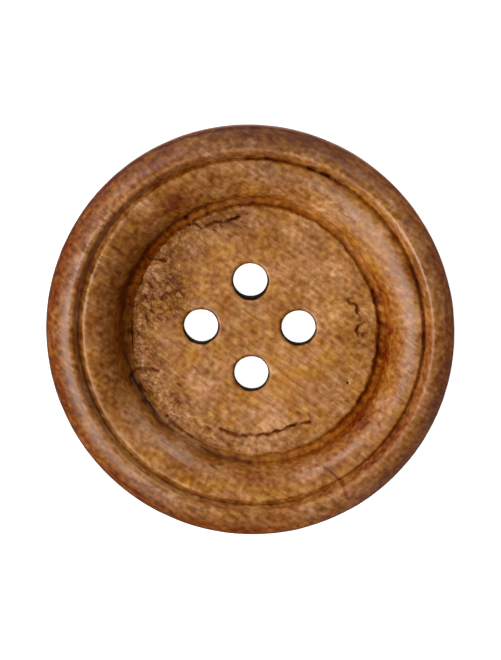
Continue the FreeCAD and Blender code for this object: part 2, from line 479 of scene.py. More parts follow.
def floor_filling(holes):
    """Points inside the floor, closer where it is cracked."""
    border_step = FLOOR_RADIUS * radians(BEARING_STEP)
    inside = FLOOR_RADIUS - FLOOR_BORDER_GAP * border_step
    even = hexagon_grid(FLOOR_STEP, inside - FLOOR_GAP * FLOOR_STEP)
    fine = hexagon_grid(CRACK_STEP, inside)
    fine = fine[near_any_crack(fine, CRACK_HALO)]
    gap = FLOOR_HOLE_GAP * FLOOR_STEP
    even = even[~near_any_crack(even, CRACK_HALO + gap)]
    return clear_of_holes(np.concatenate([even, fine]), holes, gap)


def back_filling(holes):
    """Points inside the back, with a closer ring at its edge."""
    inside = DISC_RADIUS - BACK_EDGE_ROUND
    wide = hexagon_grid(BACK_STEP, inside - BACK_GAP * BACK_STEP)
    wide = clear_of_holes(wide, holes, BACK_HOLE_GAP * BACK_STEP)
    around = directions(np.arange(0, 360, 2 * BEARING_STEP))
    return np.concatenate([wide, (inside - BACK_RING_GAP * BACK_STEP) * around])


def in_sheet(middles, holes, limit):
    """Which triangle middles lie inside the limit and in no hole."""
    good = np.hypot(*middles.T) < limit
    for middle, radius in holes:
        chord_reach = (radius + HOLE_EDGE_ROUND) * cos(pi / HOLE_POINTS)
        good &= norm(middles - middle, axis=1) > chord_reach
    return good


# The bake map: the face in one disc, the back in another, the side in three strips
# and the wall of each hole in a strip of its own.
MAP_FACE = (np.array((0.312, 0.312)), 0.302)
MAP_BACK = (np.array((0.812, 0.812)), 0.178)
MAP_SIDE_STRIPS = 3
MAP_SIDE = (0.01, 0.64, 0.6, 0.105)
MAP_HOLE = (0.65, 0.03, 0.32, 0.13)
# Strip spacing in strip heights, and the share of its width that the side takes.
MAP_STRIP_PITCH = 1.12
MAP_SIDE_FILL = 0.99


def disc_corners(chart, flat, reach):
    """Place points of a disc of that reach on the bake map."""
    middle, size = chart
    return middle + flat * (size / reach)


def face_bearings():
    """The rings' points, closer where the rim is cracked."""
    even = np.arange(0, 360, BEARING_STEP)
    first, last = RIM_CRACK_BEARINGS
    even = even[(even < first) | (even > last)]
    return np.sort(np.concatenate([even, np.arange(first, last, RIM_CRACK_BEARING_STEP)]))


def button_surface():
    """The whole true surface, with its bake map."""
    skin = Skin()
    holes = list(read_holes().values())
    bearings = face_bearings()

    section = face_section()
    face = turn(skin, section, bearings)
    side_points, side_normals = side_section()
    side = turn(skin, (side_points[1:], side_normals[1:]), bearings)
    side = np.concatenate([face[-1:], side])

    run = np.concatenate([[0], np.cumsum(norm(np.diff(section[0], axis=0), axis=1))])
    reach = FLOOR_RADIUS + run
    skin.add_faces(ring_faces(face).reshape(-1, 4), face_corners(reach, bearings))
    skin.add_faces(ring_faces(side).reshape(-1, 4), side_corners(len(side), bearings))

    floor_borders = [face[0]]
    back_borders = [side[-1]]
    hole_bearings = np.arange(HOLE_POINTS) * 360 / HOLE_POINTS
    for number, (middle, radius) in enumerate(holes):
        tube = turn(skin, hole_section(radius), hole_bearings, middle)
        skin.add_faces(ring_faces(tube).reshape(-1, 4), hole_corners(number, len(tube)))
        floor_borders.append(tube[-1])
        back_borders.append(tube[0])

    add_sheet(skin, floor_borders, floor_filling(holes), FLOOR_LEVEL, holes, FLOOR_RADIUS,
              MAP_FACE, reach[-1])
    back_radius = DISC_RADIUS - BACK_EDGE_ROUND
    add_sheet(skin, back_borders, back_filling(holes), 0.0, holes, back_radius, MAP_BACK, back_radius)
    return skin


# Points of a sheet that are closer than this count as one.
TOUCHING = 1e-6


def add_sheet(skin, borders, filling, level, holes, limit, chart, reach):
    """Fill the floor or the back with a flat sheet of triangles."""
    up = 1 if level > 0 else -1
    places = np.column_stack([filling, np.full(len(filling), level)])
    inner = skin.add_points(places, np.tile((0.0, 0.0, up), (len(filling), 1)))
    points = np.concatenate(skin.points)
    numbers = np.concatenate([*borders, inner])
    places = points[numbers, :2]
    edges = []
    for border in borders:
        start, size = len(edges), len(border)
        edges += [(start + k, start + (k + 1) % size) for k in range(size)]
    _, _, faces, originals, _, _ = delaunay_2d_cdt(
        [Vector(place) for place in places], edges, [], 0, TOUCHING)
    triangles = np.array([[originals[corner][0] for corner in face] for face in faces])
    triangles = triangles[in_sheet(places[triangles].mean(axis=1), holes, limit)]
    triangles = numbers[triangles][:, ::up]
    skin.add_faces(triangles, disc_corners(chart, points[triangles][..., :2], reach))


def face_corners(reach, bearings):
    """Bake-map corners of the face's rings, by section length."""
    spread = reach[:, None, None] * directions(np.append(bearings, 360 + bearings[0]))
    spread = disc_corners(MAP_FACE, spread, reach[-1])
    return np.stack([spread[:-1, :-1], spread[1:, :-1], spread[1:, 1:], spread[:-1, 1:]], axis=2)


def strip_corners(box, strip, starts, ends, ring_count):
    """Bake-map corners of faces in numbered strips, one above the other.

    starts and ends say where the two sides of each face lie across the box, 0 to 1.
    """
    left, bottom, width, height = box
    up = np.linspace(0, 1, ring_count)[:, None]
    corners = np.zeros((ring_count - 1, len(starts), 4, 2))
    for k, (edge, rows) in enumerate(((starts, up[:-1]), (starts, up[1:]),
                                      (ends, up[1:]), (ends, up[:-1]))):
        corners[:, :, k, 0] = left + width * edge
        corners[:, :, k, 1] = bottom + height * (strip * MAP_STRIP_PITCH + rows)
    return corners


def side_corners(ring_count, bearings):
    """Bake-map corners of the side's faces."""
    turns = np.append(bearings, 360 + bearings[0]) / 360 * MAP_SIDE_STRIPS
    starts, ends = turns[:-1], turns[1:]
    strip = np.minimum(np.floor(starts), MAP_SIDE_STRIPS - 1)
    return strip_corners(MAP_SIDE, strip, MAP_SIDE_FILL * (starts - strip),
                         MAP_SIDE_FILL * (ends - strip), ring_count)


def hole_corners(number, ring_count):
    """Bake-map corners of one hole's wall."""
    edges = np.arange(HOLE_POINTS + 1) / HOLE_POINTS
    return strip_corners(MAP_HOLE, number, edges[:-1], edges[1:], ring_count)


# ---- wear and warping, stain, painted sheen and painted shade


# How rough the wear, the stain and the painted shade are, and how fast the foot's
# raggedness changes outwards, and a hole's wobble around and upwards.
FOOT_RAGGED = Rough(0.14, 1.1, 43, 3, 0.85)
FOOT_NOISE_OUTWARD = 0.3
HOLE_WOBBLE = Rough(0.035, 0.7, 71, 1)
HOLE_NOISE = (0.9, 0.2)
SWELL = Rough(0.02, 3.2, 5)
GRAIN_RIDGES = Rough(0.012, (1.6, 0.4, 0.5), 23, 2, 0.4)
SMALL_BUMPS = Rough(0.006, 0.6, 41, 2)
EDGE_UNEVEN = Rough(1.4, 0.9, 47)
LIP_UNEVEN = Rough(0.5, 0.7, 53, 2)
TEARS = Rough(1.0, 0.42, 83, 2)
CHIPS = Rough(1.0, 0.9, 91)
POOL_RAGGED = Rough(0.3, 0.6, 97, 3, 0.8)
HOLE_SHADE_RAGGED = Rough(0.05, 0.4, 103, 1)

# Rings of the face, by radius: for band(), for hill(), and for ease().
FOOT_BAND = (8.3, 9.3, 10.0, 12.2)
EDGE_WEAR_BAND = (8.2, 8.95, 8.95, 9.25)
LIP_WEAR_BAND = (12.15, 12.5, 12.5, 12.7)
TORN_BAND = (5.2, 8.2, 9.0, 9.6)
RIM_BAND = (12.5, 12.9, 13.9, 14.9)
QUIRK_HILL = (9.47, 0.55)
ROLL_HILL = (11.0, 1.2)
CREST_HILL = (13.5, 0.5)
LIP_HILL = (LIP_RADIUS, 0.3)
ROLL_PAINTED_SHADE_HILL = (11.1, 1.7)
DARKER_NEAR_LIP_HILL = (11.9, 1.0)
FOOT_RAGGED_FADE = (10.6, 9.6)
RIM_PAINTED_SHADE_FADE = (13.2, 13.6)
EDGE_FADE = (13.7, 14.6)
EDGE_CORE_FADE = (14.5, 14.95)
OUTLINE_PAINTED_SHADE_FADE = (14.7, 14.95)
OUTSIDE_FADE = (14.4, 14.8)
# The side wall begins between these levels, and the face ends between these.
OUTSIDE_LEVELS = (3.9, 2.9)
FACE_LEVELS = (0.4, 1.2)
FACE_TURNS = (-0.3, 0.0)
BACK_TURNS = (0.0, -0.5)
# Distances over which marks fade out from the groove, a bore, or the edge of the pooled stain and painted
# shade.
CHIP_FADE = (0.4, 0.1)
GROOVE_STAIN_AND_SHADE_FADE = (0.24, 0.03)
POOL_START_FADE = (-0.14, 0.06)
POOL_END_FADE = (0.16, -0.1)
HOLE_DRIFT_REACH = 1.2
HOLE_WOBBLE_REACH = 0.5
# Painted shade in a hole and round its lower side fades out over these.
HOLE_RING_FADE = (0.1, 0.02)
HOLE_SHADE_FADE = (0.05, -0.03)
# Depths and shares.
TEAR_LEVEL = 0.12
TEAR_DEPTH = 0.05
CHIP_DEPTH = 0.12
GROOVE_STAIN_AND_SHADE = (0.7, 1.2)
OUTSIDE_EDGE_LOSS = 0.4
TINY = 1e-6


class Wood:
    """The true surface's points, and what wear and stain depend on."""

    def __init__(self, points, normals):
        self.points = points
        self.normals = normals
        self.flat = points[:, :2]
        self.level = points[:, 2]
        self.on_plan = np.column_stack([self.flat, np.zeros(len(points))])
        self.radius = np.hypot(*self.flat.T)
        self.bearing = np.degrees(np.arctan2(self.flat[:, 1], self.flat[:, 0])) % 360
        self.on_face = ease(self.level, *FACE_LEVELS) * ease(normals[:, 2], *FACE_TURNS)

    def by_bearing(self, knots):
        """A value that changes with each point's bearing."""
        return round_the_ring(self.bearing, knots)

    def away_from(self, x, y):
        """How far each point is from a place, as seen from above."""
        return np.hypot(self.flat[:, 0] - x, self.flat[:, 1] - y)

    def patches(self, spots):
        """Soft round patches on the face, from (x, y, radius, amount)."""
        return self.on_face * sum(amount * hill(self.away_from(x, y), 0, size)
                                  for x, y, size, amount in spots)


def age_surface(points, normals):
    """Move the true surface to the real one; return points and masks."""
    wood = Wood(points, normals)
    moved = points + foot_wander(wood)
    moved[:, :2] += off_centre_cut(wood) + hand_drilling(wood)
    # Drying across the grain has left the disc slightly oval.
    oval = 1 + OVAL_AMOUNT * np.cos(np.radians(2 * (wood.bearing - OVAL_BEARING)))
    moved[:, :2] *= oval[:, None]

    crack_sink, cracked = cracks_and_pits(wood)
    torn = torn_grain(wood)
    chipped = groove_chips(wood)
    sink = unevenness(wood) + worn_edges(wood) + crack_sink + CHIP_DEPTH * chipped
    sink += TEAR_DEPTH * torn * np.maximum(TEARS.at(points) - TEAR_LEVEL, 0)
    moved -= normals * sink[:, None]
    moved[:, 2] = np.maximum(moved[:, 2], 0.0)

    # The masks hold stain with painted shade, painted shade in the holes, and painted sheen.
    masks = {"crack": cracked, "torn": torn, "pool": stain_and_shade_in_hollows(wood, chipped),
             "hole": painted_hole_shade(wood), **wear_masks(wood)}
    return moved, masks


def foot_wander(wood):
    """The quirk and the foot of the roll wander in and out, up and down."""
    outward = wood.flat / np.maximum(wood.radius, TINY)[:, None]
    on_ring = np.column_stack([FLOOR_RADIUS * outward, FOOT_NOISE_OUTWARD * wood.radius])
    ragged = FOOT_RAGGED.at(on_ring) * ease(wood.radius, *FOOT_RAGGED_FADE)
    near_foot = band(wood.radius, *FOOT_BAND) * wood.on_face
    sideways = near_foot * (wood.by_bearing(FOOT_DRIFT) + ragged)
    lift = wood.on_face * hill(wood.radius, *QUIRK_HILL) * wood.by_bearing(QUIRK_LIFT)
    return np.column_stack([outward * sideways[:, None], lift])


def off_centre_cut(wood):
    """Everything inside the bead was cut a little off centre."""
    inside = ease(wood.radius, DISC_RADIUS, DISC_RADIUS - BEAD_ROUND)
    return inside[:, None] * np.array(CUT_DRIFT)


def hand_drilling(wood):
    """The holes were drilled by hand, off place and not quite round."""
    drift = np.zeros((len(wood.points), 2))
    for name, (middle, bore) in read_holes().items():
        away = wood.away_from(*middle)
        near = ease(away, bore + HOLE_DRIFT_REACH, bore + HOLE_EDGE_ROUND)
        drift += near[:, None] * np.array(HOLE_MARKS[name][0])
        to_hole = (wood.flat - middle) / np.maximum(away, TINY)[:, None]
        around, upward = HOLE_NOISE
        round_hole = np.column_stack([around * to_hole, upward * wood.level]) + middle.sum()
        wobble = HOLE_WOBBLE.at(round_hole) * ease(away, bore + HOLE_WOBBLE_REACH, bore)
        drift += to_hole * wobble[:, None]
    return drift


def grain_direction():
    """Unit vectors along and across the grain."""
    bearing = radians(GRAIN_BEARING)
    along = np.array((cos(bearing), sin(bearing), 0.0))
    return along, np.array((-along[1], along[0], 0.0))


def unevenness(wood):
    """How far swelling, grain and small bumps sink each point."""
    along, across = grain_direction()
    points = wood.points
    in_grain = np.column_stack([points @ along, points @ across, wood.level])
    return SWELL.at(points) + GRAIN_RIDGES.at(in_grain) + SMALL_BUMPS.at(points)


def worn_edges(wood):
    """How far the floor's edge and the lip's outer side are worn."""
    sink = np.zeros(len(wood.points))
    for wear, uneven, ring in ((EDGE_WEAR, EDGE_UNEVEN, EDGE_WEAR_BAND),
                               (LIP_WEAR, LIP_UNEVEN, LIP_WEAR_BAND)):
        worn = wood.by_bearing(wear) * (1 + uneven.at(wood.points))
        sink += worn * band(wood.radius, *ring) * wood.on_face
    return sink


def cracks_and_pits(wood):
    """How far cracks and pits sink each point, and how cracked it is."""
    sink = np.zeros(len(wood.points))
    cracked = np.zeros(len(wood.points))
    wander = crack_wander(wood.flat)
    uneven = 1 + CRACK_UNEVEN.at(wood.on_plan)
    for crack in CRACKS_AND_NICKS:
        away = crack.distance(wood.flat, wander)
        broken = uneven * crack.strength * wood.on_face
        deep = np.clip(CRACK_DEEPENING * (broken - CRACK_FAINTEST), 0, 1)
        sink += crack.depth * ease(away, crack.half_width * CRACK_SHOULDER, 0.0) * deep
        cracked = np.maximum(cracked, np.maximum(1 - away / CRACK_HALO, 0) * broken)
    ragged = 1 + PIT_RAGGED.at(wood.points)
    for x, y, size, depth in PITS:
        pit = ease(wood.away_from(x, y) * ragged, size, PIT_BOTTOM * size)
        sink += depth * pit * wood.on_face
        cracked = np.maximum(cracked, PIT_STRENGTH * pit * wood.on_face)
    return sink, cracked


def torn_grain(wood):
    """How badly the tool tore rising grain, from 0 to 1."""
    torn = band(wood.radius, *TORN_BAND) * wood.on_face * wood.by_bearing(TORN)
    return np.clip(torn + wood.patches(TORN_PATCHES), 0, 1)


def away_from_groove(wood):
    """How far each point is from the bottom of the groove."""
    return np.hypot(wood.radius - GROOVE[0], wood.level - GROOVE[1])


def groove_chips(wood):
    """How badly the sides of the groove are chipped."""
    chipped = np.maximum(CHIPS.at(wood.on_plan), 0)
    return chipped * ease(away_from_groove(wood), *CHIP_FADE) * wood.on_face


def stain_and_shade_in_hollows(wood, chipped):
    """How deep the stain and painted shade are in the groove, the quirk and the roll's foot."""
    even, extra = GROOVE_STAIN_AND_SHADE
    in_groove = ease(away_from_groove(wood), *GROOVE_STAIN_AND_SHADE_FADE)
    in_groove = in_groove * (even + extra * chipped) * wood.by_bearing(GROOVE_DEPTH)
    radius = wood.radius + POOL_RAGGED.at(wood.points)
    pooled = wood.on_face * wood.by_bearing(POOL_DEPTH)
    for knots, (start, full) in ((POOL_START, POOL_START_FADE), (POOL_END, POOL_END_FADE)):
        edge = wood.by_bearing(knots)
        pooled = pooled * ease(radius, edge + start, edge + full)
    return np.clip(np.maximum(in_groove, pooled), 0, 1)


def painted_hole_shade(wood):
    """How dark the painted shade is at each point, in and around the thread holes."""
    hole_shade_amount = np.zeros(len(wood.points))
    ragged = HOLE_SHADE_RAGGED.at(wood.points)
    for name, (middle, bore) in read_holes().items():
        shade_shift = np.array(HOLE_MARKS[name][1])
        ring = wood.away_from(*middle) - bore
        aside = wood.away_from(*(middle + shade_shift)) - norm(shade_shift) - bore
        for away, fade in ((ring, HOLE_RING_FADE), (aside, HOLE_SHADE_FADE)):
            hole_shade_amount = np.maximum(hole_shade_amount, ease(away + ragged, *fade))
    return hole_shade_amount


def wear_masks(wood):
    """How strong painted sheen, polish, stain and painted shade, darker spots and grain are."""
    radius, on_face = wood.radius, wood.on_face
    outside = ease(radius, *OUTSIDE_FADE) * ease(wood.level, *OUTSIDE_LEVELS)
    # Stain and painted shade on the outer edge, darkest at the outline.
    edge = np.maximum(ease(radius, *EDGE_FADE) * wood.by_bearing(EDGE_DEPTH),
                      ease(radius, *EDGE_CORE_FADE))
    on_roll = hill(radius, *ROLL_HILL)
    # Painted sheen on the rim and the roll, and on the side wall (outside) below.
    bloom = (band(radius, *RIM_BAND) * wood.by_bearing(RIM_PAINTED_SHEEN) + on_roll * wood.by_bearing(ROLL_PAINTED_SHEEN))
    ridges = np.maximum(hill(radius, *CREST_HILL), hill(radius, *LIP_HILL))
    polish = ridges * wood.by_bearing(POLISH) + on_roll * wood.by_bearing(ROLL_POLISH)
    # Painted shade on the rim and on the roll's shaded side, a darkening near the lip, darker spots, and
    # painted shade at the outline.
    grime = (ease(radius, *RIM_PAINTED_SHADE_FADE) * wood.by_bearing(RIM_PAINTED_SHADE)
             + hill(radius, *ROLL_PAINTED_SHADE_HILL) * wood.by_bearing(ROLL_PAINTED_SHADE)
             + hill(radius, *DARKER_NEAR_LIP_HILL) * DARKER_NEAR_LIP) * on_face
    grime += wood.patches(DARK_SPOTS) + ease(radius, *OUTLINE_PAINTED_SHADE_FADE) * OUTLINE_PAINTED_SHADE
    grainy = np.maximum(outside, ease(wood.normals[:, 2], *BACK_TURNS))
    return {
        "end_grain": np.abs(wood.normals @ grain_direction()[0]),
        "edge": edge * (1 - OUTSIDE_EDGE_LOSS * outside),
        "grainy": np.maximum(grainy, wood.patches(STREAKY_PATCHES)),
        "bloom": bloom * on_face + outside,
        "polish": polish * on_face,
        "grime": np.clip(grime, 0, 1),
        "pale": wood.patches(PALE_PATCHES),
    }


# How far the edge of the floor is worn down: {bearing: mm}.
EDGE_WEAR = {0: 0.06, 45: 0.05, 90: 0.1, 130: 0.2, 170: 0.22, 205: 0.18, 240: 0.1, 280: 0.08, 320: 0.03}
# How far the outer side of the lip is worn down: {bearing: mm}.
LIP_WEAR = {0: 0.02, 30: 0.03, 90: 0, 120: 0.02, 150: 0.06, 200: 0.05, 240: 0.02, 300: 0}
# How polished the bead's crest and the lip are, below zero where dull: {bearing: amount}.
POLISH = {0: -0.8, 30: 1.2, 60: -1.2, 95: -2.2, 120: 0.8, 150: 0.9, 180: 0, 215: -0.8, 240: 0.6,
    270: 1.4, 300: -1.8}
# How polished the middle of the roll is.
ROLL_POLISH = {0: 0, 30: -0.6, 60: 1.0, 95: 0, 260: 0, 300: 0.3, 335: 0.3}
# How badly the edge of the floor is torn: {bearing: amount}.
TORN = {0: 0.6, 25: 0.3, 60: 0.15, 100: 0.45, 130: 0.8, 165: 1.0, 200: 0.9, 225: 0.8, 265: 0.5,
    300: 0.35, 330: 0.3}
# Where else the grain is torn: (x, y, radius, amount).
TORN_PATCHES = ((-5.6, 2.2, 2.8, 0.95),)
# Painted shade on the bead and on the roll, by bearing, and darker spots: (x, y, radius, amount).
RIM_PAINTED_SHADE = {0: 0, 35: 0.2, 60: 0.75, 90: 1.1, 110: 0.75, 130: 0.45, 160: 0.45, 190: 0.6, 215: 0.6,
    240: 0.65, 280: 0.2, 320: 0.05}
ROLL_PAINTED_SHADE = {0: 0, 100: 0.1, 150: 0.55, 185: 0.4, 215: 0.2, 240: 0, 330: 0}
DARK_SPOTS = (
    (-1.3, -0.35, 0.9, 0.55), (-3.5, -3.2, 1.1, 0.5), (0.0, 0.3, 1.2, 0.15), (-6.2, 2.6, 2.4, 0.35),
    (-1.8, 7.6, 1.2, 0.4), (1.4, 12.1, 2.4, 0.4), (12.2, 5.2, 1.8, 0.35), (-8.2, 0.4, 1.5, 0.25),
    (5.7, -9.9, 1.3, 0.35), (6.4, 10.4, 1.8, 0.3), (-11.4, -4.6, 2.6, 0.4), (12.6, 2.6, 2.2, 0.35),
    (0.0, 1.6, 1.6, 0.3),
)
# Painted shade at the outline, and a darkening over the roll near the lip.
OUTLINE_PAINTED_SHADE = 0.7
DARKER_NEAR_LIP = 0.18
# Where the streaks of the grain show most: (x, y, radius, amount).
STREAKY_PATCHES = ((2.5, -4.0, 5.5, 0.7), (-1.0, 1.0, 3.0, 0.3))
# Where the wood is paler, or below zero darker: (x, y, radius, amount).
PALE_PATCHES = (
    (5.4, 3.4, 4.0, 1.0), (7.0, 4.2, 1.9, 2.0), (3.5, 7.2, 1.8, 1.2), (0.3, -6.8, 3.2, 0.8),
    (2.6, -3.6, 4.0, -0.7), (-7.0, 0.5, 2.6, -0.5), (-7.0, -4.1, 1.8, 1.9), (-4.2, -7.0, 2.0, 1.9),
    (4.0, -7.2, 1.8, 0.8), (11.8, 6.6, 1.8, 1.2), (6.6, -0.6, 0.8, -0.8), (5.2, 9.2, 1.9, 1.7),
    (4.9, -8.9, 1.6, 1.2), (-2.5, -9.6, 1.9, 0.6), (-10.4, 6.1, 1.8, 1.4), (0.4, 8.0, 1.4, 1.0),
    (-4.9, -8.7, 1.6, 0.9), (9.2, -5.2, 1.6, 0.9), (8.0, 1.2, 1.5, 0.9), (-6.2, -6.4, 2.2, 0.8),
    (-8.4, -4.9, 1.4, 0.9), (6.5, -11.2, 1.5, 0.8), (0.0, -12.9, 1.4, 0.5),
)
# How dark the stain and painted shade are in the groove and on the outer edge, by bearing.
GROOVE_DEPTH = {0: 1.0, 30: 0.9, 60: 0.75, 90: 0.7, 120: 1.0, 150: 0.25, 180: 0.5, 210: 0.1,
    240: 0.35, 270: 0.6, 300: 0.15, 330: 0.45}
EDGE_DEPTH = {0: 0.85, 60: 0.75, 95: 0.4, 130: 0.6, 160: 0.9, 230: 0.9, 270: 1.0, 300: 0.7, 335: 0.7}
# How strong the painted sheen is on the rim and on the roll.
RIM_PAINTED_SHEEN = {0: 0.7, 60: 0.5, 90: 0.7, 120: 1.4, 150: 1.7, 180: 0.7, 240: 0.6, 300: 0.6, 330: 0.8}
ROLL_PAINTED_SHEEN = {0: 0.4, 60: 1.1, 110: 0.6, 150: 0.8, 200: 0.6, 240: 0.4, 300: 1.2, 330: 1.0}
# Where the pooled stain and painted shade begin and end, and how deep they are.
POOL_START = {10: 9.06, 37: 9.25, 72: 9.1, 105: 9.0, 135: 9.05, 175: 8.95, 212: 9.2, 238: 9.15,
    260: 9.3, 280: 9.25, 318: 9.15, 352: 9.1}
POOL_END = {10: 10.2, 37: 9.75, 72: 9.75, 105: 10.0, 135: 9.75, 175: 10.2, 212: 9.9, 238: 9.6,
    260: 9.8, 280: 9.9, 318: 9.95, 352: 10.0}
POOL_DEPTH = {10: 0.7, 37: 0.45, 72: 0.75, 100: 0.6, 135: 0.95, 160: 0.95, 185: 0.65, 205: 0.1,
    220: 0.05, 240: 0.1, 280: 0.6, 318: 0.9, 345: 0.95}
# In and out drift of the roll's foot, and lift of the quirk's bottom: {bearing: mm}.
FOOT_DRIFT = {0: 0.15, 35: -0.1, 70: -0.05, 120: -0.2, 180: -0.1, 225: -0.05, 260: 0.1, 300: 0.3,
    335: 0.25}
QUIRK_LIFT = {0: 0, 40: 0.08, 90: 0.04, 165: -0.05, 205: 0, 240: 0.1, 275: 0.08, 320: -0.04}
CUT_DRIFT = (0.12, 0.06)
# How far each hole is off its place, and which way and how far its painted shade reaches out past the
# bore.
HOLE_MARKS = {
    "thread_hole_left": ((-0.2, 0.165), (0.0, -0.06)),
    "thread_hole_right": ((-0.11, 0.073), (-0.02, -0.055)),
    "thread_hole_upper": ((-0.12, 0.125), (0.03, -0.09)),
    "thread_hole_lower": ((-0.048, 0.078), (-0.02, -0.03)),
}
OVAL_AMOUNT = 0.0057
OVAL_BEARING = 123.0


# ---- making the mesh


def show(name, data):
    """Put an object in the scene and return it."""
    thing = bpy.data.objects.new(name, data)
    bpy.context.scene.collection.objects.link(thing)
    return thing


def make_mesh(skin):
    """A mesh of the aged surface, in metres, with masks and bake map."""
    points, masks = age_surface(np.concatenate(skin.points), np.concatenate(skin.normals))
    mesh = bpy.data.meshes.new(NODE + "_wood")
    mesh.from_pydata((points * MM).tolist(), [], skin.faces)
    layer = mesh.uv_layers.new(name="OFBake")
    layer.data.foreach_set("uv", np.concatenate(skin.corners).ravel())
    for name, values in masks.items():
        attribute = mesh.attributes.new(name, "FLOAT", "POINT")
        attribute.data.foreach_set("value", values.astype(np.float32))
    mesh.polygons.foreach_set("use_smooth", [True] * len(mesh.polygons))
    mesh.update()
    return mesh


# ---- stage, light and camera

CAMERA_TILT = 5.2
CAMERA_LENS = 250.0
SENSOR = 36.0
CAMERA_CLIP = (0.01, 10.0)
FRAME_HEIGHT = 48.44
LOOK_AT = (0.013, -0.001, 2.5)

# Soft square lamps: name, bearing, elevation, distance and size in metres, power.
LAMPS = (
    ("key", 205, 53, 0.5, 0.34, 3.0),
    ("low right", 50, 15, 0.5, 0.22, 1.0),
    ("low left", 225, 15, 0.5, 0.22, 0.5),
    ("low back", 130, 28, 0.5, 0.22, 0.98),
)
WORLD_LIGHT = 0.02
BACKDROP_LIGHT = 1.0
WHITE = (1, 1, 1, 1)

# The floor, in metres, lies a little below the back so that the two never touch.
FLOOR_HALF = 3.0
FLOOR_HEIGHT = -0.02 * MM
FLOOR_GREY = (0.4, 0.4, 0.4, 1)
FLOOR_ROUGHNESS = 0.9
FLOOR_GLOW = 1.0


def add_camera():
    """A long lens above the face, tipped towards +Y."""
    data = bpy.data.cameras.new("camera")
    data.lens = CAMERA_LENS
    data.sensor_width = SENSOR
    distance = FRAME_HEIGHT * CAMERA_LENS / SENSOR
    tilt = radians(CAMERA_TILT)
    camera = show("camera", data)
    back = Vector((0, sin(tilt), cos(tilt)))
    camera.location = (Vector(LOOK_AT) + distance * back) * MM
    camera.rotation_euler = (-tilt, 0, 0)
    data.clip_start, data.clip_end = CAMERA_CLIP
    bpy.context.scene.camera = camera


def add_lamp(name, bearing, elevation, distance, size, power):
    """A soft square lamp that faces the button."""
    data = bpy.data.lights.new(name, "AREA")
    data.size = size
    data.energy = power
    lamp = show(name, data)
    around, rise = radians(bearing), radians(elevation)
    direction = Vector((cos(around) * cos(rise), sin(around) * cos(rise), sin(rise)))
    lamp.location = direction * distance
    lamp.rotation_euler = direction.to_track_quat("Z", "Y").to_euler()


def add_floor():
    """A large plain white floor."""
    corners = [(x * FLOOR_HALF, y * FLOOR_HALF, FLOOR_HEIGHT)
               for x, y in ((-1, -1), (1, -1), (1, 1), (-1, 1))]
    mesh = bpy.data.meshes.new("floor")
    mesh.from_pydata(corners, [], [(0, 1, 2, 3)])
    material = bpy.data.materials.new("floor")
    material.use_nodes = True
    shader = material.node_tree.nodes["Principled BSDF"]
    for name, value in (("Base Color", FLOOR_GREY), ("Roughness", FLOOR_ROUGHNESS),
                        ("Emission Color", WHITE), ("Emission Strength", FLOOR_GLOW)):
        shader.inputs[name].default_value = value
    mesh.materials.append(material)
    show("floor", mesh)


def add_world():
    """Dim light from all round, and a white backdrop beyond the floor."""
    world = bpy.data.worlds.new("studio")
    world.use_nodes = True
    nodes = Nodes(world)
    background = world.node_tree.nodes["Background"]
    background.inputs["Color"].default_value = WHITE
    seen = nodes.add("ShaderNodeLightPath", {}, output="Is Camera Ray")
    strength = nodes.between(seen, (0.0, 1.0), (WORLD_LIGHT, BACKDROP_LIGHT))
    world.node_tree.links.new(strength, background.inputs["Strength"])
    bpy.context.scene.world = world


# ---- the wood's look

SHIFT_BY_AXIS = (1.0, 0.7, 1.3)


